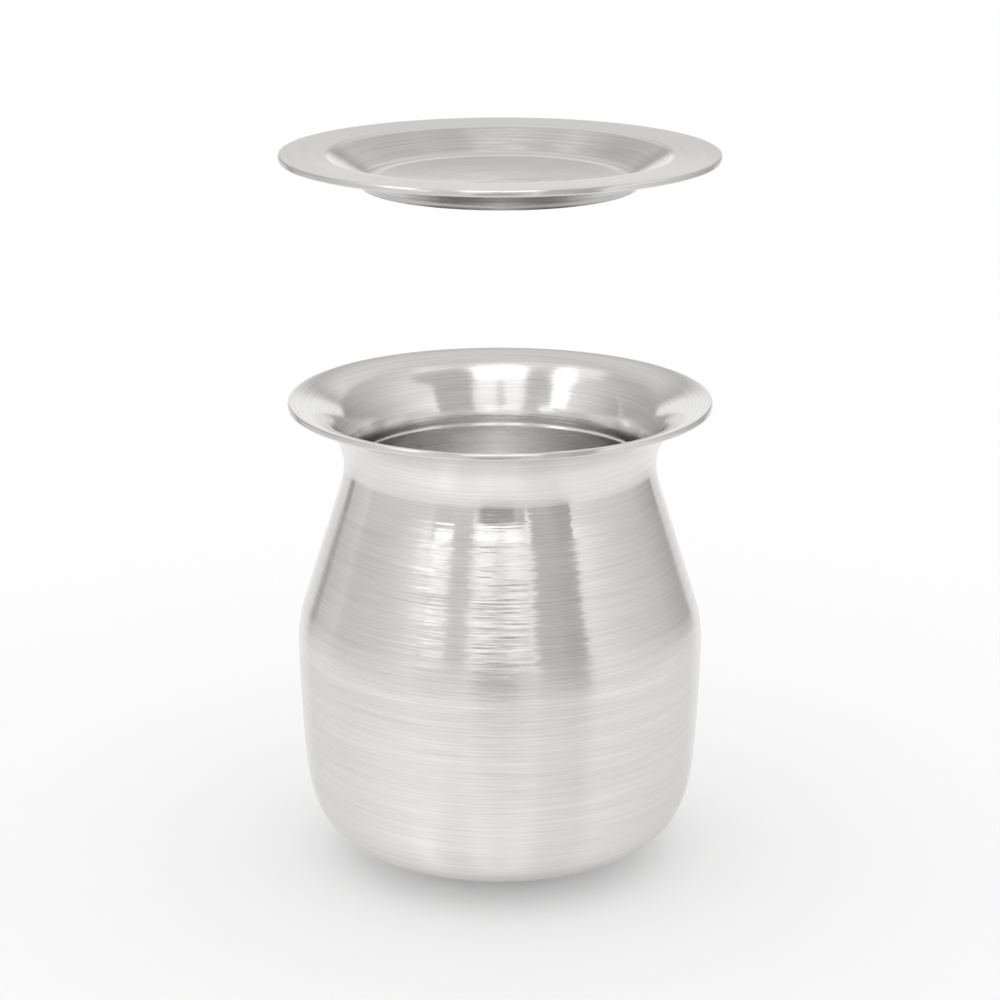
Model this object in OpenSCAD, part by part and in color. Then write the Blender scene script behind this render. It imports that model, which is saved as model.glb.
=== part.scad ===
// Small lota: a spun sheet-metal water pot with a loose dished lid.
// The pot stands on z = 0 and its axis is the z axis. The lid hangs above the
// pot's mouth, lifted off as when the pot is being filled.

/* [Pot] */
// Height of the pot from the surface it stands on to the top of its rim
pot_h = 59; // [55:0.5:64]
// Thickness of the spun sheet that the pot is made of
wall = 0.8; // [0.6:0.05:1.2]
// Diameter of the flat that the pot stands on
base_d = 25; // [16:0.5:30]
// Slope at which the underside leaves that flat, in degrees
underside_slope = 23; // [5:1:35]
// Diameter where the rounded heel runs into the shallow underside
heel_d = 40; // [36:0.5:43]
// Height of that line above the surface the pot stands on
heel_z = 3.4; // [2.4:0.1:4.4]
// Slope of the underside where it meets the heel, in degrees
heel_slope = 26; // [15:1:35]
// Diameter of the lower body, just above the heel
side_d = 49.8; // [47.5:0.1:50.3]
// Height where the heel has run out into the lower body
side_z = 17; // [14:0.5:20]
// Lean of the lower body at that height, in degrees off upright
side_lean = 2.5; // [0.5:0.1:4]
// Diameter of the belly at its widest
belly_d = 50.5; // [49.9:0.1:54]
// Height of the widest part of the belly
belly_z = 28; // [25:0.5:30]
// Radius of the belly's rounding, seen from the side
belly_round = 17; // [14:1:28]

/* [Neck and rim] */
// Outer diameter of the neck at its narrowest
neck_d = 38.5; // [36:0.1:42]
// Radius of the bend where the shoulder turns up into the neck
neck_round = 9; // [6:0.5:14]
// Diameter of the rim
rim_d = 52; // [48:0.5:56]
// Turn of the flare from upright at the neck to its rim, in degrees
flare_turn = 85; // [70:1:89]
// Radius that breaks both edges of the rim
rim_edge_round = 0.2; // [0.05:0.05:0.28]

/* [Lid] */
// Diameter of the lid
lid_d = 53; // [50:0.5:58]
// Height of the lid from its foot to the top of its flange
lid_h = 4; // [3.8:0.05:4.8]
// Thickness of the lid's sheet
lid_t = 0.8; // [0.6:0.05:1]
// Diameter where the flat flange bends down into the dish
dish_d = 41.8; // [40:0.2:45]
// Radius of that bend, on the upper face
dish_bend = 1.2; // [1.05:0.05:1.6]
// Diameter of the spun line at the foot of the dish's wall
line_d = 32.8; // [31:0.1:34]
// Depth of that line below the flange
line_depth = 2.6; // [2:0.1:2.8]
// Diameter of the flat floor inside the dish
floor_d = 28; // [20:0.5:30]
// Diameter of the turned foot under the lid
foot_d = 33.4; // [32.5:0.1:34]
// Slope of the foot's side, in degrees
foot_slope = 60; // [50:1:80]
// Radius that breaks the foot's edge
foot_round = 0.3; // [0.1:0.05:0.4]
// Radius that breaks both edges of the flange
lid_edge_round = 0.2; // [0.05:0.05:0.28]
// Height of the lifted lid above its seat on the rim
lid_lift = 29.45; // [5:0.05:60]

/* [Finish] */
// Colour of the metal, red, green and blue
metal = [0.80, 0.79, 0.77];

/* [Hidden] */
$fn = 180;
// Points along each arc or curve of an outline
arc_steps = 12;
// Points along the flare, which turns the furthest
flare_steps = 24;
// Points round each broken edge
edge_steps = 4;
// Lengths of the handles that shape the pot's three free curves
underside_pull = [2.5, 2.5];
heel_pull = [3.5, 9];
side_pull = [4, 4];
// Lengths of the handles that shape the rise of the dish's floor to its line
floor_pull = [1.2, 0.6];
// Slope at which that rise meets the line, in degrees
floor_slope = 45;
// The most of the room between belly and neck that their rounding may take
rounding_share = 0.98;
// Points of an outline closer than this are one point
same_point = 0.001;

// What the broken edge takes off the sheet's corner, seen square to an axis
function edge_loss(round, turn) = round * (sin(turn) + cos(turn) - 1);

// The flare is one arc, from upright at the neck to the rim
flare_r = (rim_d / 2 + edge_loss(rim_edge_round, flare_turn) - neck_d / 2) / (1 - cos(flare_turn));
neck_z = pot_h + edge_loss(rim_edge_round, flare_turn) - (flare_r + wall) * sin(flare_turn);

// The shoulder is the straight line that touches the belly's and the neck's
// rounding, which are kept small enough to leave one
shoulder_in = (belly_d - neck_d) / 2;
shoulder_up = neck_z - belly_z;
most_round = rounding_share * (pow(shoulder_in, 2) + pow(shoulder_up, 2)) / (2 * shoulder_in);
round_fit = min(1, most_round / (belly_round + neck_round));
belly_r = belly_round * round_fit;
neck_r = neck_round * round_fit;
centres_out = belly_r + neck_r - shoulder_in;
shoulder_turn = atan2(shoulder_up, centres_out)
    - acos((belly_r + neck_r) / norm([centres_out, shoulder_up]));

// The lid's top face is z = 0 in the lid's own outline
lid_z = pot_h + lid_t + lid_lift;
floor_depth = lid_h - lid_t;
bend_from_line = [(dish_d - line_d) / 2, line_depth - dish_bend];
wall_slope = atan2(bend_from_line[1], bend_from_line[0]) + asin(dish_bend / norm(bend_from_line));

// A station is [radius, height, heading]: the heading is the way the outline
// runs there, in degrees. The pot's outer face has the metal on its left.

// Stations along a cubic curve, from one station to another
function curve(from, to, pull, steps) =
    let (a = [from[0], from[1]],
         b = a + pull[0] * [cos(from[2]), sin(from[2])],
         d = [to[0], to[1]],
         c = d - pull[1] * [cos(to[2]), sin(to[2])])
    [for (i = [0:steps])
        let (t = i / steps,
             p = pow(1 - t, 3) * a + 3 * pow(1 - t, 2) * t * b + 3 * (1 - t) * t * t * c + pow(t, 3) * d,
             v = pow(1 - t, 2) * (b - a) + 2 * (1 - t) * t * (c - b) + t * t * (d - c))
        [p[0], p[1], atan2(v[1], v[0])]];

// Stations along an arc that bulges outwards, away from the metal
function bulge(centre, radius, from, to, steps) =
    [for (i = [0:steps])
        let (h = from + (to - from) * i / steps)
        [centre[0] + radius * sin(h), centre[1] - radius * cos(h), h]];

// Stations along an arc that bends the other way, round a centre outside the metal
function hollow(centre, radius, from, to, steps) = bulge(centre, -radius, from, to, steps);

// The stations moved into the metal by a distance, as points
function inset(stations, distance) =
    [for (s = stations) [s[0] - distance * sin(s[2]), s[1] + distance * cos(s[2])]];

function backwards(list) = [for (i = [len(list) - 1:-1:0]) list[i]];

// The outline without a point that lies on the one before it
function tidied(points) =
    [for (i = [0:len(points) - 1])
        if (i == 0 || norm(points[i] - points[i - 1]) > same_point) points[i]];

// The sheet's end after its last station, with both corners broken
function sheet_end(last, thickness, round) =
    let (along = [cos(last[2]), sin(last[2])],
         across = [-sin(last[2]), cos(last[2])],
         end = [last[0], last[1]],
         low = end + round * (across - along),
         high = end + (thickness - round) * across - round * along)
    concat([for (i = [0:edge_steps]) let (t = 90 * i / edge_steps)
                low + round * (sin(t) * along - cos(t) * across)],
           [for (i = [0:edge_steps]) let (t = 90 * i / edge_steps)
                high + round * (cos(t) * along + sin(t) * across)]);

// The pot's outer face, from the edge of its flat up to the rim
heel_at = [heel_d / 2, heel_z, heel_slope];
side_at = [side_d / 2, side_z, 90 - side_lean];
belly_at = [belly_d / 2, belly_z, 90];
flare_centre = [neck_d / 2 + flare_r, neck_z];
// The flare's last full station stops short of the broken edge
flare_stop = 90 - flare_turn + (rim_edge_round / flare_r) * 180 / PI;
pot_face = concat(
    curve([base_d / 2, 0, underside_slope], heel_at, underside_pull, arc_steps),
    curve(heel_at, side_at, heel_pull, arc_steps),
    curve(side_at, belly_at, side_pull, edge_steps),
    bulge([belly_d / 2 - belly_r, belly_z], belly_r, 90, 90 + shoulder_turn, arc_steps),
    hollow([neck_d / 2 + neck_r, neck_z], neck_r, 90 + shoulder_turn, 90, arc_steps),
    hollow(flare_centre, flare_r, 90, flare_stop, flare_steps));
rim_end = [flare_centre[0] - flare_r * cos(flare_turn),
           flare_centre[1] + flare_r * sin(flare_turn),
           90 - flare_turn];

module pot() {
    color(metal)
        rotate_extrude()
            polygon(tidied(concat(
                [[0, 0]],
                inset(pot_face, 0),
                sheet_end(rim_end, wall, rim_edge_round),
                backwards(inset(pot_face, wall)),
                [[0, wall]])));
}

// The lid's upper face, from the flat of its floor out to the flange
line_at = [line_d / 2, -line_depth];
bend_centre = [dish_d / 2, -dish_bend];
foot_centre = [foot_d / 2 - foot_round * sin(foot_slope), foot_round - lid_h];

// The foot's side runs up to the underside of the dish's wall
foot_side = foot_centre + foot_round * [sin(foot_slope), -cos(foot_slope)];
under_line = line_at + lid_t * [sin(wall_slope), -cos(wall_slope)];
foot_to_line = under_line - foot_side;
foot_rise = (foot_to_line[1] * cos(wall_slope) - foot_to_line[0] * sin(wall_slope))
    / sin(foot_slope - wall_slope);
foot_top = foot_side + foot_rise * [cos(foot_slope), sin(foot_slope)];

module lid() {
    dish_floor = curve([floor_d / 2, -floor_depth, 0], concat(line_at, floor_slope),
                       floor_pull, edge_steps);
    lid_end = [lid_d / 2, -lid_t, 0];
    color(metal)
        translate([0, 0, lid_z])
            rotate_extrude()
                polygon(tidied(concat(
                    [[0, -lid_h]],
                    inset(bulge(foot_centre, foot_round, 0, foot_slope, edge_steps), 0),
                    [foot_top],
                    inset(hollow(bend_centre, dish_bend - lid_t, wall_slope, 0, edge_steps), 0),
                    sheet_end(lid_end, lid_t, lid_edge_round),
                    backwards(inset(hollow(bend_centre, dish_bend, wall_slope, 0, arc_steps), 0)),
                    backwards(inset(dish_floor, 0)),
                    [[0, -floor_depth]])));
}

pot();
lid();
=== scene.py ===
"""A small spun-metal lota with a loose dished lid: its surfaces, its metal and a plain studio.

Both pieces are solids of revolution. Their outlines are worked out from a few sizes, carried round the
z axis as one closed surface each, and finished with a metal that is brushed round the axis."""

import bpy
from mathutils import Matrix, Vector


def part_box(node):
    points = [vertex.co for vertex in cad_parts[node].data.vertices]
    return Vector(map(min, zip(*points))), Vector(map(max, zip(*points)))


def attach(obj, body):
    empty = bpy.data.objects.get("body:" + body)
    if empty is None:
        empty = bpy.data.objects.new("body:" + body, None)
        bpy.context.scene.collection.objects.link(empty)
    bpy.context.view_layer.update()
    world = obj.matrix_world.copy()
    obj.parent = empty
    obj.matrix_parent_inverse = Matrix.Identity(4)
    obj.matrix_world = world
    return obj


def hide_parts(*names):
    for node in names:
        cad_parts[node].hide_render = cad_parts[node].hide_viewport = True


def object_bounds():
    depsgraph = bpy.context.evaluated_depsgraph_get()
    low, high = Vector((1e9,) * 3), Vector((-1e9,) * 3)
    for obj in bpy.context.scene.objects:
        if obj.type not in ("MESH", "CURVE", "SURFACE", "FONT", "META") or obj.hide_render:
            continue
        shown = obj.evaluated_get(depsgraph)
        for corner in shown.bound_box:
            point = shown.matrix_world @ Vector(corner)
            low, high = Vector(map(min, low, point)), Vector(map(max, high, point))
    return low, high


bl_info = {
    "name": "Spun Lota",
    "version": (1, 0, 0),
    "blender": (4, 5, 0),
    "location": "View3D > Sidebar > Lota",
    "description": "A spun-metal water pot with a loose dished lid, in a plain studio",
    "category": "Add Mesh",
}

from collections import namedtuple
from math import acos, asin, atan2, cos, hypot, pi, radians, sin, tan

import bpy
import numpy as np
from bpy.props import FloatProperty, FloatVectorProperty, IntProperty, PointerProperty

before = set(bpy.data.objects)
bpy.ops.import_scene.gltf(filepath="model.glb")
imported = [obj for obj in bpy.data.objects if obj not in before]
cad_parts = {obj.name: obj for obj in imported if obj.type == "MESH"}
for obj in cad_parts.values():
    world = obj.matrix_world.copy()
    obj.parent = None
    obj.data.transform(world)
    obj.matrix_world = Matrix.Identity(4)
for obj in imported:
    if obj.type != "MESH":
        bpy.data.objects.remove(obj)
CAD_LOW, CAD_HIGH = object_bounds()
POT_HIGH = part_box("pot")[1]
LID_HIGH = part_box("lid")[1]

MM = 0.001
# Stations on each arc, curve and straight of an outline, before it is divided evenly
POINTS_ALONG = 400


def number(name, description, default, low, high, **kind):
    """A number for the sidebar, with its default and its limits."""
    return FloatProperty(name=name, description=description, default=default, min=low, max=high, **kind)


def in_metres(name, description, default, low, high, digits=5):
    """A length for the sidebar, in metres."""
    return number(name, description, default, low, high, precision=digits, unit="LENGTH")


def in_mm(name, description, default, low, high):
    """A length for the sidebar, given in millimetres."""
    return in_metres(name, description, default * MM, low * MM, high * MM)


def in_degrees(name, description, default, low, high):
    """An angle for the sidebar, given in degrees."""
    return number(name, description, radians(default), radians(low), radians(high), subtype="ANGLE")


class LotaPotSizes(bpy.types.PropertyGroup):
    """Sizes of the pot. Its height comes from the frame."""

    height: in_metres("Height", "Height of the pot to the top of its rim", POT_HIGH.z, 0.05, 0.07)
    wall: in_mm("Sheet", "Thickness of the spun sheet", 0.8, 0.5, 1.2)
    base_d: in_mm("Standing flat", "Diameter of the flat that the pot stands on", 25, 16, 30)
    underside_slope: in_degrees(
        "Underside slope", "Slope at which the underside leaves the flat", 23, 5, 35)
    heel_d: in_mm("Heel", "Diameter where the heel runs into the underside", 40, 36, 43)
    heel_z: in_mm("Heel height", "Height where the heel runs into the underside", 3.4, 2.4, 4.4)
    heel_slope: in_degrees("Heel slope", "Slope of the underside where it meets the heel", 26, 15, 35)
    side_d: in_mm("Lower body", "Diameter of the lower body above the heel", 49.8, 47.5, 50.3)
    side_z: in_mm(
        "Lower body height", "Height where the heel has run out into the lower body", 17, 14, 20)
    side_lean: in_degrees("Lower body lean", "Lean of the lower body off upright", 2.5, 0.5, 4)
    belly_d: in_mm("Belly", "Diameter of the belly at its widest", 50.5, 49.9, 54)
    belly_z: in_mm("Belly height", "Height of the widest part of the belly", 28, 25, 30)
    belly_round: in_mm(
        "Belly rounding", "Radius of the belly's rounding, seen from the side", 17, 14, 28)
    neck_d: in_mm("Neck", "Outer diameter of the neck at its narrowest", 38.5, 36, 42)
    neck_round: in_mm("Neck rounding", "Radius of the bend from the shoulder into the neck", 9, 6, 14)
    rim_d: in_mm("Rim", "Diameter of the rim", 52, 48, 56)
    flare_turn: in_degrees(
        "Flare turn", "Turn of the flare from upright at the neck to its rim", 85, 70, 89)
    edge_round: in_mm("Broken edge", "Radius that breaks both edges of the rim", 0.2, 0.05, 0.28)


class LotaLidSizes(bpy.types.PropertyGroup):
    """Sizes of the lid. The height at which it hangs comes from the frame."""

    top: in_metres("Top", "Height of the flange's upper face", LID_HIGH.z, 0.05, 0.15)
    diameter: in_mm("Diameter", "Diameter of the lid", 53, 50, 58)
    height: in_mm("Height", "Height from the foot to the top of the flange", 4, 3.8, 4.8)
    sheet: in_mm("Sheet", "Thickness of the lid's sheet", 0.8, 0.6, 1)
    dish_d: in_mm("Dish", "Diameter where the flange bends down into the dish", 41.8, 40, 45)
    dish_bend: in_mm("Dish bend", "Radius of that bend on the upper face", 1.2, 1.05, 1.6)
    line_d: in_mm("Spun line", "Diameter of the spun line at the foot of the dish's wall", 32.8, 31, 34)
    line_depth: in_mm("Spun line depth", "Depth of that line below the flange", 2.6, 2, 2.8)
    floor_d: in_mm("Dish floor", "Diameter of the slightly hollow floor inside the dish", 28, 20, 30)
    foot_d: in_mm("Foot", "Diameter of the turned foot under the lid", 33.4, 32.5, 34)
    foot_slope: in_degrees("Foot slope", "Slope of the foot's side", 60, 50, 80)
    foot_round: in_mm("Foot edge", "Radius that breaks the foot's edge", 0.3, 0.1, 0.4)
    edge_round: in_mm("Broken edge", "Radius that breaks both edges of the flange", 0.2, 0.05, 0.28)


class LotaFinish(bpy.types.PropertyGroup):
    """The metal and the marks that spinning and brushing leave in it."""

    colour: FloatVectorProperty(
        name="Metal", description="Colour of the metal", subtype="COLOR", size=3,
        default=(0.8, 0.791, 0.787), min=0, max=1)
    roughness: number("Roughness", "Roughness of the brushed face", 0.16, 0.05, 0.6, subtype="FACTOR")
    grain: number(
        "Grain", "How much rougher the metal is across the brushing than along it",
        0.75, 0, 1, subtype="FACTOR")
    scratch_tilt: in_degrees("Scratches", "How far the walls of the scratches lean", 5, 0, 20)
    dent_tilt: in_degrees(
        "Dents", "How far the sides of the short dents between the scratches lean", 2.6, 0, 12)
    segments: IntProperty(
        name="Segments", description="Faces in one turn round the axis",
        default=192, min=96, max=256)
    ring_step: in_mm("Ring step", "Distance between rings on the faces that show most", 0.25, 0.15, 1)


class LotaStudio(bpy.types.PropertyGroup):
    """The camera, the floor and the light."""

    camera_distance: in_metres(
        "Camera distance", "Level distance from the pot's axis to the camera",
        0.315, 0.1, 2, digits=4)
    camera_height: in_metres("Camera height", "Height of the camera above the floor", 0.14145, 0.01, 1)
    camera_pitch: in_degrees("Camera pitch", "How far the camera looks down", 16.894, 0, 80)
    lens: number("Lens", "Focal length in millimetres on a 36 mm sensor", 95.65, 20, 200)
    panel_distance: in_metres(
        "Panel distance", "Distance of the light panels from the middle of the pot",
        0.2, 0.15, 3, digits=3)
    panel_light: number("Panel light", "Strength of the light panels", 0.906, 0, 4)
    floor_size: in_metres("Floor", "Width of the floor", 8, 2, 40, digits=2)
    floor_albedo: number("Floor paint", "How pale the floor is", 0.88, 0.1, 1, subtype="FACTOR")
    sky: number("Sky", "Strength of the white light from all round", 1.0, 0, 2)


# Outlines. A station is a radius, a height and a heading in radians: the heading is the way the outline
# runs there. The metal lies to the left of that way all along.

def curve_run(start, stop, pulls):
    """Stations on a cubic curve, with handles along the end headings, as long as the two pulls."""
    t = np.linspace(0, 1, POINTS_ALONG)[:, None]
    a = np.array(start[:2])
    d = np.array(stop[:2])
    b = a + pulls[0] * np.array([cos(start[2]), sin(start[2])])
    c = d - pulls[1] * np.array([cos(stop[2]), sin(stop[2])])
    place = (1 - t) ** 3 * a + 3 * (1 - t) ** 2 * t * b + 3 * (1 - t) * t ** 2 * c + t ** 3 * d
    speed = (1 - t) ** 2 * (b - a) + 2 * (1 - t) * t * (c - b) + t ** 2 * (d - c)
    return np.column_stack([place, np.arctan2(speed[:, 1], speed[:, 0])])


def bulge_run(centre, radius, turn_from, turn_to):
    """Stations on an arc: the centre plus the radius times (sin, -cos) of an evenly turning heading."""
    turn = np.linspace(turn_from, turn_to, POINTS_ALONG)
    return np.column_stack([centre[0] + radius * np.sin(turn), centre[1] - radius * np.cos(turn), turn])


def hollow_run(centre, radius, turn_from, turn_to):
    """Stations on an arc that bends the other way, round a centre on the outline's right."""
    return bulge_run(centre, -radius, turn_from, turn_to)


def straight_run(start, stop):
    """Stations on the straight line between two points."""
    share = np.linspace(0, 1, POINTS_ALONG)[:, None]
    place = (1 - share) * np.array(start) + share * np.array(stop)
    heading = np.full((POINTS_ALONG, 1), atan2(stop[1] - start[1], stop[0] - start[0]))
    return np.hstack([place, heading])


def moved_in(run, distance):
    """The run moved to its left by the distance, square to its heading at every station."""
    radius, height, heading = run.T
    return np.column_stack([radius - distance * np.sin(heading),
                            height + distance * np.cos(heading), heading])


def turned_back(run):
    """The run in the other direction, with its headings turned by half a turn."""
    back = run[::-1].copy()
    back[:, 2] += pi
    return back


def sheet_end_runs(last, thickness, edge_round):
    """The sheet's cut end after a station, as quarter arc, straight and quarter arc."""
    turn = last[2]
    along = np.array([cos(turn), sin(turn)])
    across = np.array([-sin(turn), cos(turn)])
    end = np.array(last[:2])
    low = end + edge_round * (across - along)
    high = end + (thickness - edge_round) * across - edge_round * along
    return (bulge_run(low, edge_round, turn, turn + pi / 2),
            straight_run(low + edge_round * along, high + edge_round * along),
            bulge_run(high, edge_round, turn + pi / 2, turn + pi))


def edge_loss(edge_round, turn):
    """What a broken edge takes off the sheet's corner, seen square to an axis."""
    return edge_round * (sin(turn) + cos(turn) - 1)


# Lengths of the handles of the pot's free curves: the underside, the heel and the lower body
UNDERSIDE_PULLS = (2.5 * MM, 2.5 * MM)
HEEL_PULLS = (3.5 * MM, 9 * MM)
SIDE_PULLS = (4 * MM, 4 * MM)
# The bend into the neck starts this far before its plain arc would, and tightens on its way up
NECK_REACH = 1.45 * MM
NECK_PULLS = (1.2 * MM, 1.2 * MM)
# Inside, the sheet is even from the rim down to this turn of the flare. Then it thickens by CREST_IN to
# a crest, which lies CREST_BELOW under the flare's foot and leans by CREST_LEAN.
CREST_TURN = radians(14)
CREST_IN = 0.1 * MM
CREST_BELOW = 0.25 * MM
CREST_LEAN = radians(5)
CREST_PULLS = (0.8 * MM, 0.8 * MM)
# The ledge on the crest: how far it reaches in towards the axis, and how far it falls on its way
LEDGE_WIDTH = 0.03 * MM
LEDGE_FALL = 0.06 * MM
# Under the ledge, the inside follows the first of this many equal parts of the neck's bend
NECK_PARTS = 3


def pot_runs(sizes):
    """The pot's outline as named runs: from the middle of its flat up the outside, over the rim and
    back down inside. The flare is one arc from upright at the neck to the rim. The shoulder is the
    straight line that touches the belly's arc and runs into the neck's bend. The inside is the outside
    moved in by the wall, apart from a crest and a ledge just below the neck."""
    flare_r = ((sizes.rim_d / 2 + edge_loss(sizes.edge_round, sizes.flare_turn) - sizes.neck_d / 2)
               / (1 - cos(sizes.flare_turn)))
    neck_z = (sizes.height + edge_loss(sizes.edge_round, sizes.flare_turn)
              - (flare_r + sizes.wall) * sin(sizes.flare_turn))
    shoulder_up = neck_z - sizes.belly_z
    centres_out = sizes.belly_round + sizes.neck_round - (sizes.belly_d - sizes.neck_d) / 2
    shoulder_turn = (atan2(shoulder_up, centres_out)
                     - acos((sizes.belly_round + sizes.neck_round) / hypot(centres_out, shoulder_up)))
    upright = pi / 2
    downward = 3 * upright
    base = (sizes.base_d / 2, 0, sizes.underside_slope)
    heel = (sizes.heel_d / 2, sizes.heel_z, sizes.heel_slope)
    side = (sizes.side_d / 2, sizes.side_z, upright - sizes.side_lean)
    belly = (sizes.belly_d / 2, sizes.belly_z, upright)
    belly_centre = (belly[0] - sizes.belly_round, sizes.belly_z)
    neck = (sizes.neck_d / 2, neck_z, upright)
    lean = upright + shoulder_turn
    bend_start = (neck[0] + sizes.neck_round * (1 - sin(lean)) - NECK_REACH * cos(lean),
                  neck_z + sizes.neck_round * cos(lean) - NECK_REACH * sin(lean), lean)
    flare_centre = (sizes.neck_d / 2 + flare_r, neck_z)
    flare_stop = upright - sizes.flare_turn + sizes.edge_round / flare_r
    rim_end = (flare_centre[0] - flare_r * cos(sizes.flare_turn),
               flare_centre[1] + flare_r * sin(sizes.flare_turn), upright - sizes.flare_turn)
    lower = np.vstack([curve_run(base, heel, UNDERSIDE_PULLS), curve_run(heel, side, HEEL_PULLS),
                       curve_run(side, belly, SIDE_PULLS)])
    belly_arc = bulge_run(belly_centre, sizes.belly_round, upright, upright + shoulder_turn)
    shoulder = straight_run(belly_arc[-1, :2], bend_start[:2])
    neck_bend = curve_run(bend_start, neck, NECK_PULLS)
    flare = hollow_run(flare_centre, flare_r, upright, flare_stop)
    # Inside, the flare runs down to a crest just below the neck, where a fine ledge marks its end
    even_mouth = hollow_run(flare_centre, flare_r, upright - CREST_TURN, flare_stop)
    mouth = turned_back(moved_in(even_mouth, sizes.wall))
    crest = np.array([neck[0] - sizes.wall - CREST_IN, neck_z - CREST_BELOW])
    ledge = crest + np.array([-LEDGE_WIDTH, -LEDGE_FALL])
    to_crest = curve_run(tuple(mouth[-1]), (*crest, downward - CREST_LEAN), CREST_PULLS)
    under_neck = turned_back(moved_in(neck_bend[:len(neck_bend) // NECK_PARTS], sizes.wall))
    from_ledge = curve_run((*ledge, downward), tuple(under_neck[0]), CREST_PULLS)
    below = turned_back(moved_in(np.vstack([lower, belly_arc, shoulder]), sizes.wall))
    inner_base = (sizes.base_d / 2 - sizes.wall * sin(sizes.underside_slope),
                  sizes.wall * cos(sizes.underside_slope))
    return {
        "flat": straight_run((0, 0), base[:2]),
        "lower": lower,
        "belly": belly_arc,
        "shoulder": shoulder,
        "neck": neck_bend,
        "flare": flare,
        "edge": np.vstack(sheet_end_runs(rim_end, sizes.wall, sizes.edge_round)),
        "mouth": np.vstack([mouth, to_crest]),
        "crest": straight_run(crest, ledge),
        "inside": np.vstack([from_ledge, under_neck, below]),
        "bottom": straight_run(inner_base, (0, sizes.wall)),
    }


# Lengths of the handles of the curve from the dish's floor to its spun line, and its slope at the line
DISH_FLOOR_PULLS = (1.2 * MM, 0.5 * MM)
DISH_FLOOR_SLOPE = radians(45)
# The flange dips by this much from its rim to the dish, and the middle of the dish's floor lies this
# much lower than its edge
FLANGE_DIP = 0.15 * MM
FLOOR_SAG = 0.36 * MM
# Handles of this share of its width make the floor's curve an even bowl
BOWL_HANDLE = 1 / 3


def lid_runs(sizes):
    """The lid's outline as named runs: from under its foot, round the flange's edge and into the dish.
    The dish's wall is the straight line from the spun line that touches the flange's bend, and the
    foot's side runs up to the underside of that wall."""
    line = (sizes.line_d / 2, -sizes.line_depth)
    run_out = (sizes.dish_d - sizes.line_d) / 2
    rise = sizes.line_depth - sizes.dish_bend
    wall_slope = atan2(rise, run_out) + asin(sizes.dish_bend / hypot(run_out, rise))
    bend_centre = (sizes.dish_d / 2, -sizes.dish_bend)
    foot_centre = (sizes.foot_d / 2 - sizes.foot_round * sin(sizes.foot_slope),
                   sizes.foot_round - sizes.height)
    foot_side = (foot_centre[0] + sizes.foot_round * sin(sizes.foot_slope),
                 foot_centre[1] - sizes.foot_round * cos(sizes.foot_slope))
    under_line = (line[0] + sizes.sheet * sin(wall_slope), line[1] - sizes.sheet * cos(wall_slope))
    reach = (under_line[0] - foot_side[0], under_line[1] - foot_side[1])
    climb = ((reach[1] * cos(wall_slope) - reach[0] * sin(wall_slope))
             / sin(sizes.foot_slope - wall_slope))
    foot_top = (foot_side[0] + climb * cos(sizes.foot_slope),
                foot_side[1] + climb * sin(sizes.foot_slope))
    under_bend = hollow_run(bend_centre, sizes.dish_bend - sizes.sheet, wall_slope, 0)
    flange_end = (sizes.diameter / 2, -sizes.sheet, 0)
    floor_depth = sizes.height - sizes.sheet
    floor_r = sizes.floor_d / 2
    floor_edge = (floor_r, FLOOR_SAG - floor_depth, atan2(2 * FLOOR_SAG, floor_r))
    bowl = curve_run((0, -floor_depth, 0), floor_edge, (floor_r * BOWL_HANDLE, floor_r * BOWL_HANDLE))
    dish_floor = np.vstack([bowl, curve_run(floor_edge, (*line, DISH_FLOOR_SLOPE), DISH_FLOOR_PULLS)])
    bend = turned_back(hollow_run(bend_centre, sizes.dish_bend, wall_slope, 0))
    end_runs = sheet_end_runs(flange_end, sizes.sheet, sizes.edge_round)
    runs = {
        "foot": np.vstack([straight_run((0, -sizes.height), (foot_centre[0], -sizes.height)),
                           bulge_run(foot_centre, sizes.foot_round, 0, sizes.foot_slope),
                           straight_run(foot_side, foot_top)]),
        "under": np.vstack([straight_run(foot_top, under_bend[0, :2]), under_bend,
                            straight_run(under_bend[-1, :2], end_runs[0][0, :2])]),
        "edge": np.vstack(end_runs),
        "flange": np.vstack([straight_run(end_runs[-1][-1, :2], bend[0, :2]), bend]),
        "wall": straight_run(bend[-1, :2], line),
        "floor": turned_back(dish_floor),
    }
    # The lid is raised to its place, and sinks by the flange's dip on the way in from its rim
    rim_r = sizes.diameter / 2
    for run in runs.values():
        inward = np.clip((rim_r - run[:, 0]) / (rim_r - bend_centre[0]), 0, 1)
        run[:, 1] += sizes.top - FLANGE_DIP * inward
    return runs


# Surfaces of revolution.

def way_along(stations):
    """How far along the outline each station lies."""
    steps = np.hypot(np.diff(stations[:, 0]), np.diff(stations[:, 1]))
    return np.concatenate([[0], np.cumsum(steps)])


def evened(run, step):
    """The run's stations at even steps along its length, interpolated between the close ones."""
    reach = np.hypot(np.diff(run[:, 0]), np.diff(run[:, 1]))
    along = np.concatenate([[0], np.cumsum(reach)])
    keep = np.concatenate([[True], reach > 0])
    count = max(2, int(np.ceil(along[-1] / step)) + 1)
    at = np.linspace(0, along[-1], count)
    return np.column_stack([np.interp(at, along[keep], run[keep, column]) for column in range(3)])


def smooth_noise(at, pitch, random):
    """Smooth random values from 0 to 1 along a line: one per pitch, blended in between by a cosine."""
    place = np.asarray(at) / pitch
    knots = random.random(int(np.max(place)) + 2)
    low = np.floor(place).astype(int)
    blend = (1 - np.cos(pi * (place - low))) / 2
    return knots[low] * (1 - blend) + knots[low + 1] * blend


def spinning_marks(along, layers, random):
    """Depth of the roller's marks: for each layer of (pitch, depth), smooth noise along the outline."""
    return sum(depth * smooth_noise(along, pitch, random) for pitch, depth in layers)


# How fast the phase of a wave round the axis drifts along the outline, at the least and at the most, in
# radians per metre
PHASE_DRIFT = (20, 60)


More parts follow.
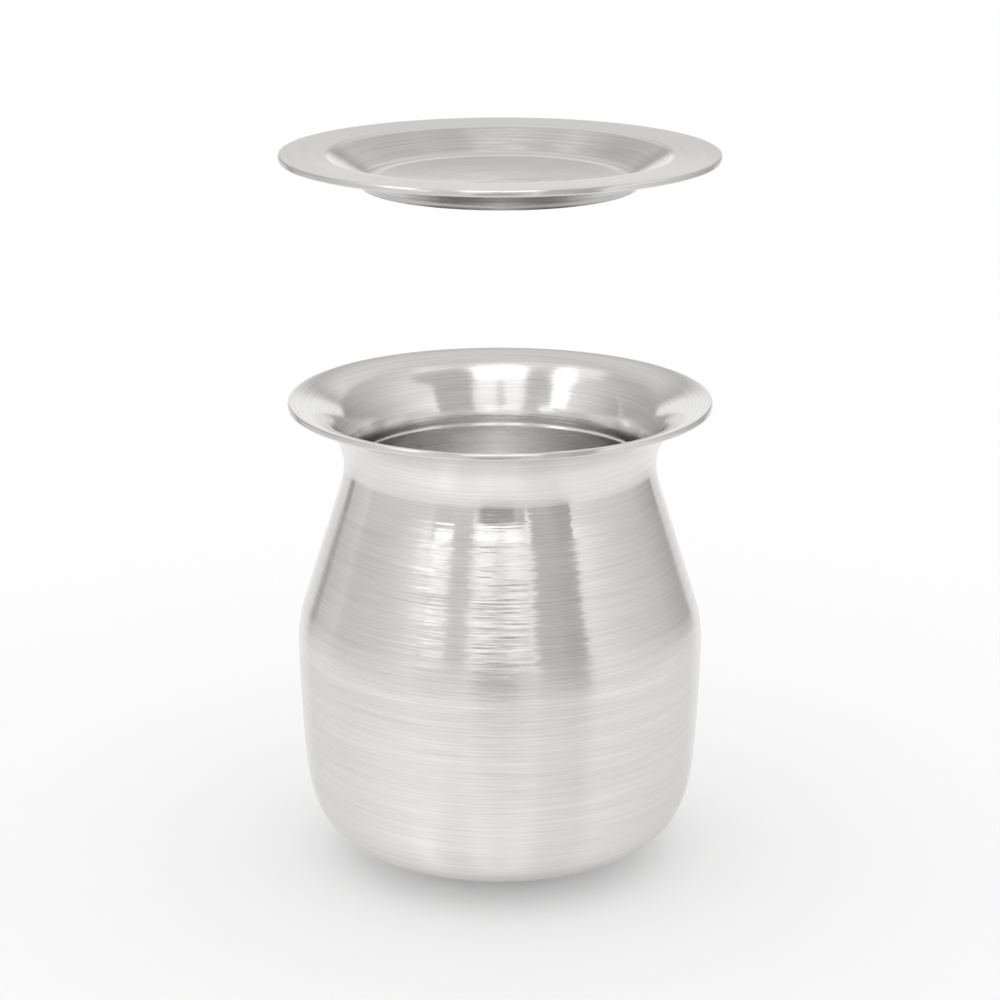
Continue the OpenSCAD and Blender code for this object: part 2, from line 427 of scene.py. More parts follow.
def out_of_round(angle, along, waves, random):
    """Depth of the hand-spun wander: for each (lobes, depth), a cosine round the axis whose phase
    drifts along the outline, lifted so that it is never below zero."""
    depth = np.zeros((len(along), len(angle)))
    for lobes, most in waves:
        phase = 2 * pi * random.random() + along[:, None] * random.uniform(*PHASE_DRIFT)
        depth += most * (1 + np.cos(lobes * angle[None, :] + phase)) / 2
    return depth


def ring_points(stations, depth, segments):
    """Points of the surface. Ring j, column i lies at the station's radius and height, moved to the
    left of its heading by the depth there, and turned by i segments round the z axis. The two end
    points come last."""
    angle = np.linspace(0, 2 * pi, segments, endpoint=False)
    ring_r, ring_z, heading = stations[1:-1].T
    radius = ring_r[:, None] - depth[1:-1] * np.sin(heading)[:, None]
    height = ring_z[:, None] + depth[1:-1] * np.cos(heading)[:, None]
    grid = np.stack([radius * np.cos(angle), radius * np.sin(angle), height], axis=-1)
    poles = np.array([[0, 0, stations[0, 1]], [0, 0, stations[-1, 1]]])
    return np.concatenate([grid.reshape(-1, 3), poles])


def ring_corners(rings, segments):
    """Corners of the faces, and how many each face has: four between each ring and the next, then three
    for each triangle of the fans that close both ends."""
    row, column = np.meshgrid(np.arange(rings - 1), np.arange(segments), indexing="ij")
    beside = (column + 1) % segments
    quads = np.stack([row * segments + column, row * segments + beside,
                      (row + 1) * segments + beside, (row + 1) * segments + column], axis=-1)
    turn = np.arange(segments)
    turn_next = (turn + 1) % segments
    top = (rings - 1) * segments
    start_pole = rings * segments
    start_fan = np.stack([np.full(segments, start_pole), turn_next, turn], axis=-1)
    stop_fan = np.stack([top + turn, top + turn_next, np.full(segments, start_pole + 1)], axis=-1)
    corners = np.concatenate([quads.ravel(), start_fan.ravel(), stop_fan.ravel()])
    return corners, np.concatenate([np.full(quads.size // 4, 4), np.full(2 * segments, 3)])


def ring_uv(share, segments):
    """UV at the same corners: the part of a turn round the axis, and the share of the outline."""
    row, column = np.meshgrid(np.arange(len(share) - 3), np.arange(segments), indexing="ij")
    turn = np.arange(segments)
    quad_u = np.stack([column, column + 1, column + 1, column], axis=-1) / segments
    quad_v = np.stack([share[row + 1], share[row + 1], share[row + 2], share[row + 2]], axis=-1)
    start_u = np.stack([turn + 0.5, turn + 1, turn], axis=-1) / segments
    start_v = np.tile([share[0], share[1], share[1]], (segments, 1))
    stop_u = np.stack([turn, turn + 1, turn + 0.5], axis=-1) / segments
    stop_v = np.tile([share[-2], share[-2], share[-1]], (segments, 1))
    return np.concatenate([np.stack([u.ravel(), v.ravel()], axis=-1)
                           for u, v in ((quad_u, quad_v), (start_u, start_v), (stop_u, stop_v))])


def shown(name, data):
    """The mesh or camera as an object in the scene."""
    piece = bpy.data.objects.new(name, data)
    bpy.context.scene.collection.objects.link(piece)
    return piece


def revolved(name, stations, depth, layers, segments):
    """A closed surface of revolution as one object. Its UV map "around" follows the surface, and each
    ring keeps the way along the outline and its values of the layers as attributes."""
    along = way_along(stations)
    points = ring_points(stations, depth, segments)
    corners, counts = ring_corners(len(stations) - 2, segments)
    uv = ring_uv(along / along[-1], segments)
    starts = np.concatenate([[0], np.cumsum(counts)[:-1]])
    mesh = bpy.data.meshes.new(name)
    mesh.vertices.add(len(points))
    mesh.vertices.foreach_set("co", points.astype(np.float32).ravel())
    mesh.loops.add(len(corners))
    mesh.loops.foreach_set("vertex_index", corners.astype(np.int32))
    mesh.polygons.add(len(counts))
    mesh.polygons.foreach_set("loop_start", starts.astype(np.int32))
    mesh.update(calc_edges=True)
    mesh.uv_layers.new(name="around").data.foreach_set("uv", uv.astype(np.float32).ravel())
    for label, values in {"along": along, **layers}.items():
        ring_values = np.repeat(values[1:-1], segments)
        everywhere = np.concatenate([ring_values, [values[0], values[-1]]])
        attribute = mesh.attributes.new(label, "FLOAT", "POINT")
        attribute.data.foreach_set("value", everywhere.astype(np.float32))
    mesh.polygons.foreach_set("use_smooth", np.ones(len(counts), bool))
    if mesh.validate():
        raise RuntimeError(f"{name}: the surface had broken faces")
    return shown(name, mesh)


# How a run is ringed and finished: the step between rings as a multiple of the ring step, how strongly
# it is scratched by brushing, how hazy the metal is, how burnished, how much painted shade darkens its
# colour (painted light where that value is below zero), and how deep the roller's marks are
Finish = namedtuple("Finish", "step scratched hazy burnished dull marks")
# Where two runs meet, their finishes blend over twice this length
BLEND_LENGTH = 0.35 * MM


def finished_stations(runs, finishes, ring_step):
    """Puts the evened runs end to end. Gives the stations, how far along the outline they lie, and for
    each the values of its run's finish, averaged over the stations within BLEND_LENGTH of it."""
    pieces = [evened(run, finishes[label].step * ring_step) for label, run in runs.items()]
    counts = [len(piece) - 1 for piece in pieces[:-1]] + [len(pieces[-1])]
    stations = np.vstack([piece[:count] for piece, count in zip(pieces, counts)])
    along = way_along(stations)
    window = np.abs(along[:, None] - along[None, :]) < BLEND_LENGTH
    gaps = np.gradient(along)
    layers = {}
    for column in ("scratched", "hazy", "burnished", "dull", "marks"):
        value = np.repeat([getattr(finishes[label], column) for label in runs], counts).astype(float)
        layers[column] = (window * gaps) @ value / (window @ gaps)
    return stations, along, layers


# The fifth value is painted shading, not a finish of the metal. Below zero it paints light into the
# colour of the belly, the flare and the whole inside. Above zero it paints shade on the flat
# underneath.
POT_FINISHES = {
    "flat": Finish(8, 0.6, 0.4, 0, 0.1, 0.3),
    "lower": Finish(1.2, 0.7, 0.5, 0, 0, 1),
    "belly": Finish(1, 1.0, 0.7, 0, -0.06, 1),
    "shoulder": Finish(1, 1.0, 0.25, 0, 0, 1),
    "neck": Finish(1, 0.6, 0.0, 0.7, 0, 0.7),
    "flare": Finish(1, 0.5, 0.6, 0, -0.06, 0.7),
    "edge": Finish(0.3, 0.9, 0.5, 0.3, 0, 0),
    "mouth": Finish(1, 0.4, 0.0, 0, 0, 0.7),
    "crest": Finish(0.15, 0.6, 0.3, 0, 0, 0),
    "inside": Finish(1.6, 0.4, 0.9, 0, -0.22, 0.4),
    "bottom": Finish(8, 0.6, 0.9, 0, -0.22, 0.3),
}
# On the lid the fifth value paints shade on the foot, the underside and the dish's wall, and a little
# on the edge and the floor. It paints light on the flange.
LID_FINISHES = {
    "foot": Finish(2, 0.5, 0.6, 0, 0.33, 0.5),
    "under": Finish(1, 0.5, 0.5, 0, 0.33, 0.5),
    "edge": Finish(0.3, 0.9, 0.5, 0.3, 0.05, 0),
    "flange": Finish(0.8, 0.6, 0, 0.2, -0.1, 0.6),
    "wall": Finish(0.8, 1.0, 0.2, 0, 0.23, 0.8),
    "floor": Finish(1, 0.7, 0, 0.2, 0.05, 0.8),
}
# Layers of the roller's marks, each a pitch and a depth
ROLLER_MARKS = ((4.2 * MM, 0.014 * MM), (1.7 * MM, 0.0035 * MM), (0.8 * MM, 0.0012 * MM))
# Waves of the hand-spun wander, each a number of lobes in one turn and a depth
POT_WANDER = ((2, 0.03 * MM), (3, 0.02 * MM), (5, 0.008 * MM), (9, 0.002 * MM))
LID_WANDER = ((2, 0.03 * MM), (3, 0.02 * MM), (5, 0.01 * MM), (7, 0.004 * MM))
# The wander fades out towards the axis, from this radius
WANDER_FADE = 5 * MM
POT_SEED = 11
LID_SEED = 23


def spun_piece(name, runs, finishes, wander, seed, finish):
    """One spun piece: the outline's stations, sunk by the roller's marks and by the hand-spun wander,
    and carried round the axis."""
    random = np.random.default_rng(seed)
    stations, along, layers = finished_stations(runs, finishes, finish.ring_step)
    marks = spinning_marks(along, ROLLER_MARKS, random) * layers.pop("marks")
    angle = np.linspace(0, 2 * pi, finish.segments, endpoint=False)
    fade = np.clip(stations[:, 0] / WANDER_FADE, 0, 1)
    depth = marks[:, None] + out_of_round(angle, along, wander, random) * fade[:, None]
    return revolved(name, stations, depth, layers, finish.segments)


# Metal.

def joined(tree, kind, inputs=(), **settings):
    """A new shader node of the kind: takes its settings, and its inputs by index or name."""
    node = tree.nodes.new(kind)
    for key, value in settings.items():
        setattr(node, key, value)
    for key, value in dict(inputs).items():
        if isinstance(value, bpy.types.NodeSocket):
            tree.links.new(value, node.inputs[key])
        else:
            node.inputs[key].default_value = value
    return node


def math_of(tree, operation, *values):
    """The result of a Math node."""
    return joined(tree, "ShaderNodeMath", enumerate(values), operation=operation).outputs[0]


def added(tree, base, value, share):
    """The base with this share of the value added."""
    return math_of(tree, "MULTIPLY_ADD", value, share, base)


def vector_of(tree, operation, inputs, output="Vector"):
    """The result of a Vector Math node."""
    return joined(tree, "ShaderNodeVectorMath", inputs, operation=operation).outputs[output]


def ranged(tree, value, to_low, to_high, start=0.0, stop=1.0, blend="LINEAR"):
    """A Map Range node's result: start becomes to_low and stop becomes to_high, held at both ends."""
    return joined(tree, "ShaderNodeMapRange", {0: value, 1: start, 2: stop, 3: to_low, 4: to_high},
                  interpolation_type=blend).outputs[0]


def new_tree(owner):
    """The owner's node tree, emptied."""
    owner.use_nodes = True
    owner.node_tree.nodes.clear()
    return owner.node_tree


def attribute_of(tree, label):
    """The value of one of the mesh's own attributes."""
    return joined(tree, "ShaderNodeAttribute", attribute_name=label).outputs["Fac"]


# Streaks that the brushing leaves: how long one is on the belly, its width across the brushing, the
# detail of its noise, and where it starts in the noise, so that no two kinds lie alike
Streak = namedtuple("Streak", "length width detail start")
STREAKS = {
    "fine": Streak(6 * MM, 0.16 * MM, 1, 0),
    "long": Streak(36 * MM, 0.25 * MM, 1, 40),
    "short": Streak(1.6 * MM, 0.16 * MM, 1, 80),
    "sideways": Streak(3 * MM, 0.18 * MM, 1, 120),
    "tone": Streak(60 * MM, 1.6 * MM, 2, 160),
    "grain": Streak(14 * MM, 0.15 * MM, 1, 200),
}
STREAK_NOISE_ROUGHNESS = 0.55
# The radius at which the streaks are as long as their length says
BELLY_R = 25 * MM
# The share of the long scratches, how much the cube of the noise adds to it, and how far the metal tips
# along the brushing
LONG_SCRATCHES = 0.5
DEEP_SCRATCHES = 10.0
SIDEWAYS_TILT = 0.06
# Seen at a grazing angle, neighbouring scratches even out: the power of the cosine at which they do
EVENING_OUT = 2.0
# The quarter turn, as a share of a whole one, that lays the gloss across the brushing
ACROSS_THE_BRUSHING = 0.25
# What the fine streaks, haze and burnishing add to the roughness, and broad tone and grain to the shade
STREAK_ROUGHNESS = 0.05
HAZY_ROUGHNESS = 0.14
BURNISHED_ROUGHNESS = -0.08
TONE_SHADE = 0.04
GRAIN_SHADE = 0.15


def streak_noise(tree, direction, along, streak):
    """Noise from -1 to 1, drawn out round the axis: about one streak per width across the brushing. It
    reads the direction from the axis, so it has no seam."""
    turned = vector_of(tree, "SCALE", {0: direction, "Scale": BELLY_R / streak.length})
    step = added(tree, streak.start, along, 1 / streak.width)
    raised = joined(tree, "ShaderNodeCombineXYZ", {2: step}).outputs[0]
    place = vector_of(tree, "ADD", {0: turned, 1: raised})
    noise = joined(tree, "ShaderNodeTexNoise",
                   {"Vector": place, "Scale": 1.0, "Detail": streak.detail,
                    "Roughness": STREAK_NOISE_ROUGHNESS}, noise_dimensions="3D").outputs["Fac"]
    return added(tree, -1.0, noise, 2.0)


def scratched_normal(tree, noise, finish):
    """The normal of the brushed face: the streaks tip it along the outline, as the walls of fine
    scratches do, and a little along the brushing. A normal map's colour holds each slope from -1 to 1
    as 0 to 1."""
    def cubed(value):
        return math_of(tree, "MULTIPLY", math_of(tree, "MULTIPLY", value, value), value)

    def packed(slope):
        return added(tree, 0.5, slope, 0.5)

    facing = joined(tree, "ShaderNodeLayerWeight").outputs["Facing"]
    level_view = math_of(tree, "SUBTRACT", 1.0, facing)
    scratched = math_of(tree, "MULTIPLY", math_of(tree, "POWER", level_view, EVENING_OUT),
                        attribute_of(tree, "scratched"))
    # A few scratches are much deeper than the rest, so the cube of the noise is added to it
    scratch = added(tree, noise["fine"], cubed(noise["fine"]), DEEP_SCRATCHES)
    scratch = added(tree, scratch, noise["long"], LONG_SCRATCHES)
    scratch = added(tree, scratch, cubed(noise["long"]), DEEP_SCRATCHES)
    scratch = math_of(tree, "MULTIPLY", scratch, tan(finish.scratch_tilt))
    tilt = added(tree, scratch, noise["short"], tan(finish.dent_tilt))
    tilt = math_of(tree, "MULTIPLY", tilt, scratched)
    side = math_of(tree, "MULTIPLY", noise["sideways"], scratched)
    side = math_of(tree, "MULTIPLY", side, SIDEWAYS_TILT)
    lean = joined(tree, "ShaderNodeCombineXYZ", {0: packed(side), 1: packed(tilt), 2: 1.0}).outputs[0]
    return joined(tree, "ShaderNodeNormalMap", {"Strength": 1.0, "Color": lean}, space="TANGENT",
                  uv_map="around").outputs[0]


def spun_metal(name, finish):
    """Metal brushed round the axis, whose streaks tip its surface and change its roughness and tone,
    and whose colour carries each run's painted light and shade.
    """
    material = bpy.data.materials.new(name)
    tree = new_tree(material)
    place = joined(tree, "ShaderNodeTexCoord").outputs["Object"]
    level = vector_of(tree, "MULTIPLY", {0: place, 1: (1, 1, 0)})
    direction = vector_of(tree, "NORMALIZE", {0: level})
    along = attribute_of(tree, "along")
    noise = {kind: streak_noise(tree, direction, along, streak) for kind, streak in STREAKS.items()}
    normal = scratched_normal(tree, noise, finish)
    tangent = joined(tree, "ShaderNodeTangent", direction_type="UV_MAP", uv_map="around").outputs[0]

    rough = added(tree, finish.roughness, noise["fine"], STREAK_ROUGHNESS)
    rough = added(tree, rough, attribute_of(tree, "hazy"), HAZY_ROUGHNESS)
    rough = added(tree, rough, attribute_of(tree, "burnished"), BURNISHED_ROUGHNESS)
    shade = added(tree, 1.0, noise["tone"], TONE_SHADE)
    shade = added(tree, shade, noise["grain"], GRAIN_SHADE)
    # Each run's painted shading darkens the colour, or paints light into it where the value is below
    # zero
    shade = math_of(tree, "SUBTRACT", shade, attribute_of(tree, "dull"))
    colour = vector_of(tree, "SCALE", {0: tuple(finish.colour), "Scale": shade})
    shader = joined(tree, "ShaderNodeBsdfPrincipled",
                    {"Base Color": colour, "Metallic": 1.0, "Roughness": rough,
                     "Anisotropic": finish.grain, "Anisotropic Rotation": ACROSS_THE_BRUSHING,
                     "Normal": normal, "Tangent": tangent})
    joined(tree, "ShaderNodeOutputMaterial", {"Surface": shader.outputs[0]})
    return material


def ready(piece, node, body, material):
    """Gives the piece its metal and its place in the frame."""
    piece.data.materials.append(material)
    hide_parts(node)
    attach(piece, body)


class LOTA_OT_pot(bpy.types.Operator):
    """Spin the pot: one closed shell from the flat it stands on to the rim and back down inside"""

    bl_idname = "lota.pot"
    bl_label = "Spin the pot"

    def execute(self, context):
        finish = context.scene.lota_finish
        runs = pot_runs(context.scene.lota_pot)
        pot = spun_piece("spun_pot", runs, POT_FINISHES, POT_WANDER, POT_SEED, finish)
        ready(pot, "pot", "pot", spun_metal("pot_metal", finish))
        return {"FINISHED"}


class LOTA_OT_lid(bpy.types.Operator):
    """Spin the lid: flange, dish, floor and turned foot in one closed shell"""

    bl_idname = "lota.lid"
    bl_label = "Spin the lid"

    def execute(self, context):
        finish = context.scene.lota_finish
        runs = lid_runs(context.scene.lota_lid)
        lid = spun_piece("spun_lid", runs, LID_FINISHES, LID_WANDER, LID_SEED, finish)
        ready(lid, "lid", "lid", spun_metal("lid_metal", finish))
        # The pot and the lid are lit apart, so neither the mouth nor the inside mirrors the lid
        lid.visible_glossy = False
        return {"FINISHED"}


# Studio. A panel is a patch of a dome over the object. Its feet and tops are directions from the middle
# of the pot, left one first, each an azimuth and an elevation in degrees. The azimuth is counted from
# the camera's side and grows towards the camera's right. Its light blends from corner to corner between
# four levels: the feet's, left and right, and the tops'. Its edges fade over shares of its width at the
# left and the right, and over shares of its height at its foot and its top.
Panel = namedtuple("Panel", "name feet tops levels left right foot top", defaults=(0, 0, 0, 0))
# The elevation at which the lowest panels stand
LOWEST = -9
PANELS = (
    Panel("left_wall", ((-106, 8), (-52, 8)), ((-119, 62), (-66, 62)),
          (0.34, 1.04, 0.8, 1.08), left=0.03),
    Panel("left_back", ((-160, LOWEST), (-105, LOWEST)), ((-154, 60), (-118, 62)),
          (0.42, 0.4, 0.64, 0.78), left=0.08, top=0.1),
    Panel("left_low", ((-106, LOWEST), (-44, LOWEST)), ((-106, 14), (-44, 14)),
          (0.72, 0.84, 0.72, 0.86), top=0.15),
    Panel("left_fold", ((-128, LOWEST), (-98, LOWEST)), ((-128, 15), (-98, 15)),
          (0.66, 0.86, 0.66, 0.86), left=0.12, right=0.25, top=0.3),
    Panel("left_rim", ((-178, LOWEST), (-130, LOWEST)), ((-178, 14), (-130, 14)),
          (0.9, 0.86, 0.9, 0.86), right=0.2, top=0.3),
    Panel("left_gap", ((-40, LOWEST), (-14.5, LOWEST)), ((-90, 72), (-44, 77)),
          (0.84, 0.8, 0.66, 0.66), right=0.04),
    Panel("left_arch", ((-90, 72), (-44, 77)), ((-150, 70), (-150, 78)),
          (0.85, 0.66, 0.8, 0.8), right=0.15, top=0.1),
    Panel("strip_foot", ((-47, LOWEST), (-28, LOWEST)), ((-46, 14.5), (-30, 14.5)),
          (0.8, 0.78, 0.74, 0.72), left=0.3, right=0.2),
    Panel("strip_sill", ((-47, 14), (-29, 14)), ((-47, 25), (-31, 25)),
          (1.6, 1.6, 1.6, 1.7), left=0.3, right=0.2, foot=0.12, top=0.2),
    Panel("strip", ((-55, 20), (-39, 20)), ((-69, 53), (-49, 54)),
          (1.6, 1.6, 1.6, 1.6), left=0.1, right=0.12, foot=0.1),
    Panel("strip_middle", ((-69, 53), (-49, 54)), ((-96, 64), (-82, 74)),
          (1.6, 1.6, 1.6, 1.6), left=0.1, right=0.12),
    Panel("strip_back", ((-96, 64), (-82, 74)), ((-156, 64), (-144, 72)),
          (1.6, 1.6, 1.6, 1.6), left=0.15, right=0.15, top=0.1),
    Panel("right_dark", ((17, LOWEST), (120, LOWEST)), ((47, 77), (150, 77)),
          (0.64, 0.54, 0.6, 0.66), left=0.015, right=0.2, top=0.05),
    Panel("right_shade", ((28, LOWEST), (48.6, LOWEST)), ((34, 24), (51, 24)),
          (0.5, 0.46, 0.56, 0.54), left=0.5, top=0.3),
    Panel("right_wall", ((47.8, 12), (96, 12)), ((70, 59), (106, 63)),
          (1.22, 0.64, 1.0, 0.98), left=0.02, top=0.08),
    Panel("right_back", ((95.5, 12), (160, 12)), ((105.5, 63), (155, 66)),
          (0.64, 0.3, 0.98, 0.8), right=0.06, top=0.08),
    Panel("right_low", ((48, LOWEST), (106, LOWEST)), ((48, 16), (106, 16)),
          (0.92, 0.73, 0.96, 0.69), left=0.01, top=0.2),
    Panel("right_fold", ((105.5, LOWEST), (150, LOWEST)), ((105.5, 16), (150, 16)),
          (0.73, 0.34, 0.69, 0.36), top=0.2),
    Panel("right_rim", ((134, LOWEST), (178, LOWEST)), ((134, 14), (178, 14)),
          (0.82, 0.9, 0.82, 0.9), left=0.12, top=0.3),
    Panel("low_band", ((-16, LOWEST), (17.5, LOWEST)), ((-16, 15), (17.5, 15)),
          (0.74, 0.7, 0.68, 0.6), left=0.05, right=0.05),
    Panel("dark_gap", ((-13, LOWEST), (9, LOWEST)), ((-13, 15), (9, 15)),
          (0.48, 0.48, 0.44, 0.44), left=0.04, right=0.04),
    Panel("middle_box", ((-15.5, 14.6), (18, 14.6)), ((-44, 77), (47, 77)),
          (1.2, 1.1, 1.35, 1.35), left=0.1, right=0.14),
    Panel("sill", ((-15.5, 14.6), (18, 14.6)), ((-18, 23), (20, 23)),
          (1.6, 1.5, 1.6, 1.45), left=0.08, right=0.28, foot=0.1, top=0.4),
    Panel("post", ((-5, 18), (5, 18)), ((-6, 76), (6, 76)),
          (0.8, 0.8, 0.9, 0.9), left=0.4, right=0.4, foot=0.1, top=0.2),
    Panel("ceiling", ((-44, 77), (47, 77)), ((-150, 79), (150, 79)),
          (2.6, 2.6, 2.6, 2.6), left=0.06, right=0.06, foot=0.05, top=0.15),
    Panel("back_foot", ((146, LOWEST), (214, LOWEST)), ((146, 14), (214, 14)),
          (0.9, 0.9, 0.86, 0.86), left=0.04, right=0.04, top=0.2),
    Panel("back_low", ((150, LOWEST), (210, LOWEST)), ((150, 21), (210, 21)),
          (1.0, 1.0, 1.06, 1.06), left=0.1, right=0.1, foot=0.1),
    Panel("back_middle", ((150, 21), (210, 21)), ((150, 27), (210, 27)),
          (1.06, 1.06, 0.56, 0.56), left=0.1, right=0.1),
    Panel("back_upper", ((150, 27), (210, 27)), ((150, 36), (210, 36)),
          (0.56, 0.56, 0.94, 0.7), left=0.1, right=0.1),
    Panel("back", ((150, 36), (210, 36)), ((146, 77), (208, 70)),
          (0.94, 0.7, 0.74, 0.82), left=0.05, right=0.05, top=0.1),
)


# The colour of the dimmest panels, and the level up to which a panel has it in full
DIM_LIGHT = (1.0, 0.97, 0.95)
DIM_LEVEL = 0.4
WHITE = (1, 1, 1, 1)


def emitter(panel, light):
    """A light that shows in reflections at the panel's own levels, the dimmer the warmer, with edges
    that fade out."""
    material = bpy.data.materials.new(panel.name)
    tree = new_tree(material)
    uv = joined(tree, "ShaderNodeUVMap", uv_map="panel").outputs[0]
    split = joined(tree, "ShaderNodeSeparateXYZ", {0: uv})
    across, up = split.outputs[0], split.outputs[1]
    from_right = math_of(tree, "SUBTRACT", 1.0, across)
    from_top = math_of(tree, "SUBTRACT", 1.0, up)
    mask = 1.0
    fades = ((across, panel.left), (from_right, panel.right), (up, panel.foot), (from_top, panel.top))
    for share, soft in fades:
        if soft > 0:
            faded = ranged(tree, share, 0.0, 1.0, stop=soft, blend="SMOOTHSTEP")
            mask = math_of(tree, "MULTIPLY", faded, mask)
    foot = ranged(tree, across, *panel.levels[:2])
    top = ranged(tree, across, *panel.levels[2:])
    level = ranged(tree, up, foot, top)
    tints = [ranged(tree, level, shade, 1.0, start=DIM_LEVEL) for shade in DIM_LIGHT]
    colour = joined(tree, "ShaderNodeCombineXYZ", enumerate(tints)).outputs[0]
    strength = math_of(tree, "MULTIPLY", level, light)
    glow = joined(tree, "ShaderNodeEmission", {"Color": colour, "Strength": strength}).outputs[0]
    clear = joined(tree, "ShaderNodeBsdfTransparent").outputs[0]
    mixed = joined(tree, "ShaderNodeMixShader", {0: mask, 1: clear, 2: glow}).outputs[0]
    joined(tree, "ShaderNodeOutputMaterial", {"Surface": mixed})
    return material


# Each panel has this many points along each side, and lies this much nearer than the one before it
PANEL_STEPS = 33
PANEL_GAP = 0.3 * MM


def dome_panel(panel, radius, middle, light):
    """A panel on the dome: the four corner directions blended evenly both ways, made one long again,
    times the radius, and counted from the middle."""
    def direction(azimuth, elevation):
        a, e = radians(azimuth), radians(elevation)
        return np.array([cos(e) * sin(a), -cos(e) * cos(a), sin(e)])

    u, v = np.meshgrid(np.linspace(0, 1, PANEL_STEPS), np.linspace(0, 1, PANEL_STEPS))
    foot_left, foot_right = (direction(*corner) for corner in panel.feet)
    top_left, top_right = (direction(*corner) for corner in panel.tops)
    points = ((1 - v) * ((1 - u) * foot_left[:, None, None] + u * foot_right[:, None, None])
              + v * ((1 - u) * top_left[:, None, None] + u * top_right[:, None, None]))
    points = np.moveaxis(radius * points / np.linalg.norm(points, axis=0), 0, -1).reshape(-1, 3)
    points[:, 2] += middle
    steps = np.arange(PANEL_STEPS - 1)
    row, column = np.meshgrid(steps, steps, indexing="ij")
    first = row * PANEL_STEPS + column
    faces = np.stack([first, first + PANEL_STEPS, first + PANEL_STEPS + 1, first + 1], axis=-1)
    mesh = bpy.data.meshes.new(panel.name)
    mesh.from_pydata(points, [], faces.reshape(-1, 4))
    share = np.stack([u, v], axis=-1).reshape(-1, 2)
    corners = np.empty(len(mesh.loops), np.int32)
    mesh.loops.foreach_get("vertex_index", corners)
    uv = share[corners].astype(np.float32)
    mesh.uv_layers.new(name="panel").data.foreach_set("uv", uv.ravel())
    mesh.materials.append(emitter(panel, light))
    only_reflected(shown(panel.name, mesh))


def only_reflected(board):
    """The panel shows in the metal and nowhere else."""
    board.visible_camera = False
    board.visible_diffuse = False
    board.visible_shadow = False
    board.visible_transmission = False


def background_rays(tree):
    """One for rays that see the background, straight from the camera or by way of metal or glass."""
    path = joined(tree, "ShaderNodeLightPath")
    glossy = math_of(tree, "MAXIMUM", path.outputs["Is Camera Ray"], path.outputs["Is Glossy Ray"])
    return math_of(tree, "MAXIMUM", glossy, path.outputs["Is Transmission Ray"])


# The floor lies this much under the pot, so that the two faces don't touch
FLOOR_DROP = 0.02 * MM
VARNISH_ROUGHNESS = 0.1
VARNISH_IOR = 2.6
# A pool of light on the floor in front of the pot, seen only in the metal
POOL_MIDDLE = (-26 * MM, -46 * MM, 0)
POOL_RADIUS = 85 * MM
POOL_LIGHT = 0.1


def pale_paint(studio):
    """Matt paint that takes the object's shadow, lifted to white where rays look at it. Its thin coat
    of varnish and the pool of light on it show only in the metal."""
    material = bpy.data.materials.new("floor_paint")
    tree = new_tree(material)
    albedo = studio.floor_albedo
    paint = joined(tree, "ShaderNodeBsdfDiffuse", {"Color": (albedo, albedo, albedo, 1)}).outputs[0]
    lift = math_of(tree, "MULTIPLY", background_rays(tree), 1 - albedo * studio.sky)
    glow = joined(tree, "ShaderNodeEmission", {"Color": WHITE, "Strength": lift}).outputs[0]
    both = joined(tree, "ShaderNodeAddShader", {0: paint, 1: glow}).outputs[0]
    mirrored = joined(tree, "ShaderNodeLightPath").outputs["Is Glossy Ray"]
    place = joined(tree, "ShaderNodeTexCoord").outputs["Object"]
    reach = vector_of(tree, "DISTANCE", {0: place, 1: POOL_MIDDLE}, "Value")
    pool = ranged(tree, reach, POOL_LIGHT, 0.0, stop=POOL_RADIUS, blend="SMOOTHSTEP")
    pool = math_of(tree, "MULTIPLY", pool, mirrored)
    pool = joined(tree, "ShaderNodeEmission", {"Color": WHITE, "Strength": pool}).outputs[0]
    varnish = joined(tree, "ShaderNodeBsdfGlossy", {"Roughness": VARNISH_ROUGHNESS}).outputs[0]
    fresnel = joined(tree, "ShaderNodeFresnel", {"IOR": VARNISH_IOR}).outputs[0]
    shine = math_of(tree, "MULTIPLY", fresnel, mirrored)
    coated = joined(tree, "ShaderNodeMixShader", {0: shine, 1: both, 2: varnish}).outputs[0]
    coated = joined(tree, "ShaderNodeAddShader", {0: coated, 1: pool}).outputs[0]
    joined(tree, "ShaderNodeOutputMaterial", {"Surface": coated})
    return material


def pale_floor(studio):
    """A flat white floor, just under the pot."""
    half = studio.floor_size / 2
    corners = [(-half, -half, -FLOOR_DROP), (half, -half, -FLOOR_DROP),
               (half, half, -FLOOR_DROP), (-half, half, -FLOOR_DROP)]
    mesh = bpy.data.meshes.new("floor")
    mesh.from_pydata(corners, [], [(0, 1, 2, 3)])
    mesh.materials.append(pale_paint(studio))
    floor = shown("floor", mesh)


def white_sky(studio):
    """A white world at a plain level, and plain white where rays look at the background."""
    world = bpy.data.worlds.new("white_sky")
    bpy.context.scene.world = world
    tree = new_tree(world)
    strength = ranged(tree, background_rays(tree), studio.sky, 1.0)
    glow = joined(tree, "ShaderNodeBackground", {"Color": WHITE, "Strength": strength}).outputs[0]
    joined(tree, "ShaderNodeOutputWorld", {"Surface": glow})


# The sensor's width in millimetres, and the nearest and farthest distance that the camera shows
SENSOR_WIDTH = 36
NEAREST = 0.01
FARTHEST = 100


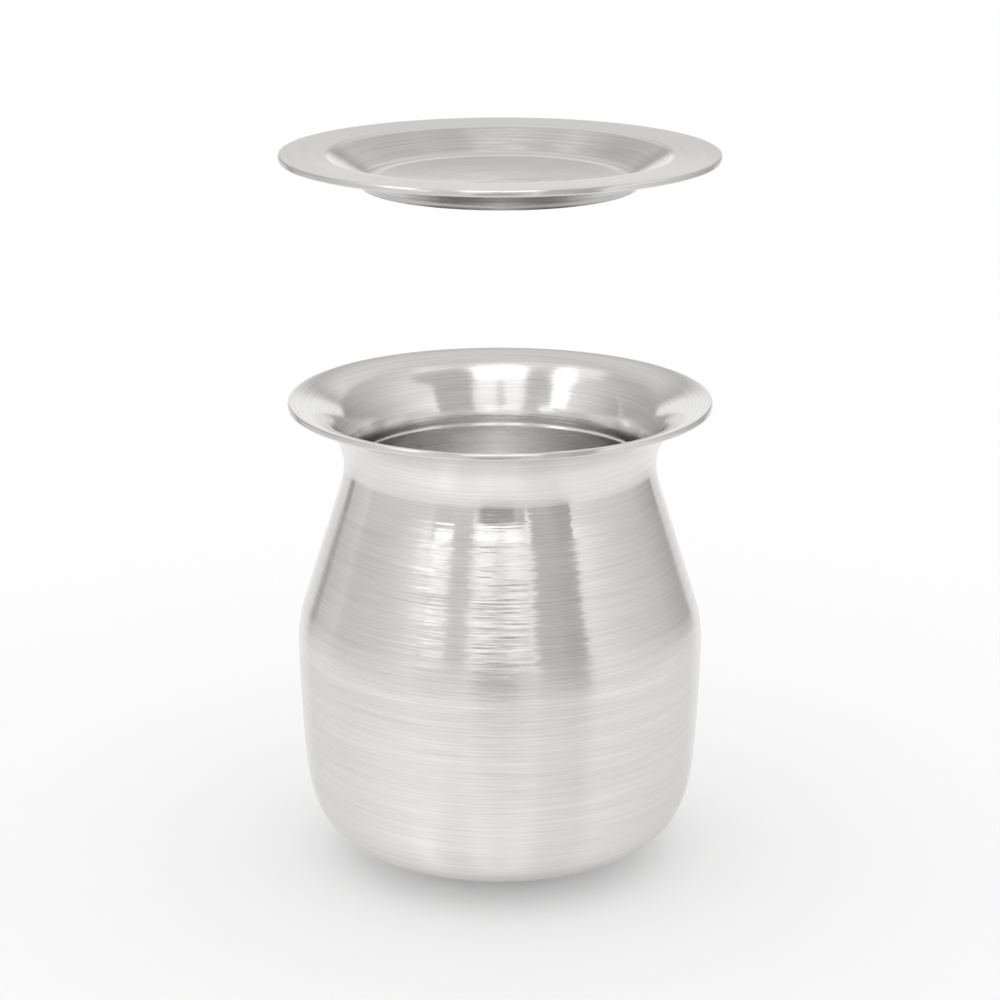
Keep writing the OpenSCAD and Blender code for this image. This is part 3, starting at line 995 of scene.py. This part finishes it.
def photo_camera(studio):
    """A camera level with the photograph's, looking down at the object from in front."""
    data = bpy.data.cameras.new("photo_camera")
    data.sensor_width = SENSOR_WIDTH
    data.lens = studio.lens
    data.clip_start = NEAREST
    data.clip_end = FARTHEST
    camera = shown("photo_camera", data)
    camera.location = (0, -studio.camera_distance, studio.camera_height)
    camera.rotation_euler = (pi / 2 - studio.camera_pitch, 0, 0)
    bpy.context.scene.camera = camera


class LOTA_OT_studio(bpy.types.Operator):
    """Set the stage: camera, pale floor, white sky and the panels that the metal mirrors"""

    bl_idname = "lota.studio"
    bl_label = "Set the stage"

    def execute(self, context):
        studio = context.scene.lota_studio
        photo_camera(studio)
        pale_floor(studio)
        white_sky(studio)
        middle = (CAD_LOW.z + POT_HIGH.z) / 2
        for order, panel in enumerate(PANELS):
            dome_panel(panel, studio.panel_distance - order * PANEL_GAP, middle, studio.panel_light)
        context.scene.view_settings.view_transform = "Standard"
        return {"FINISHED"}


class LOTA_PT_panel(bpy.types.Panel):
    """The lota's sizes, its finish and its stage"""

    bl_idname = "LOTA_PT_panel"
    bl_label = "Lota"
    bl_space_type = "VIEW_3D"
    bl_region_type = "UI"
    bl_category = "Lota"

    def draw(self, context):
        scene = context.scene
        for operator, group in ((LOTA_OT_pot, scene.lota_pot), (LOTA_OT_lid, scene.lota_lid),
                                (LOTA_OT_studio, scene.lota_studio)):
            box = self.layout.box()
            box.operator(operator.bl_idname)
            for key in group.__annotations__:
                box.prop(group, key)
        box = self.layout.box()
        for key in scene.lota_finish.__annotations__:
            box.prop(scene.lota_finish, key)


CLASSES = (LotaPotSizes, LotaLidSizes, LotaFinish, LotaStudio, LOTA_OT_pot, LOTA_OT_lid, LOTA_OT_studio,
           LOTA_PT_panel)
GROUPS = {"lota_pot": LotaPotSizes, "lota_lid": LotaLidSizes, "lota_finish": LotaFinish,
          "lota_studio": LotaStudio}


def register():
    """Registers the classes and puts their groups on the scene."""
    for cls in CLASSES:
        bpy.utils.register_class(cls)
    for key, group in GROUPS.items():
        setattr(bpy.types.Scene, key, PointerProperty(type=group))


def unregister():
    """Takes the groups and the classes away again."""
    for key in GROUPS:
        delattr(bpy.types.Scene, key)
    for cls in reversed(CLASSES):
        bpy.utils.unregister_class(cls)


def main():
    """Builds everything in order."""
    register()
    bpy.ops.lota.studio()
    bpy.ops.lota.pot()
    bpy.ops.lota.lid()


if __name__ == "__main__":
    main()
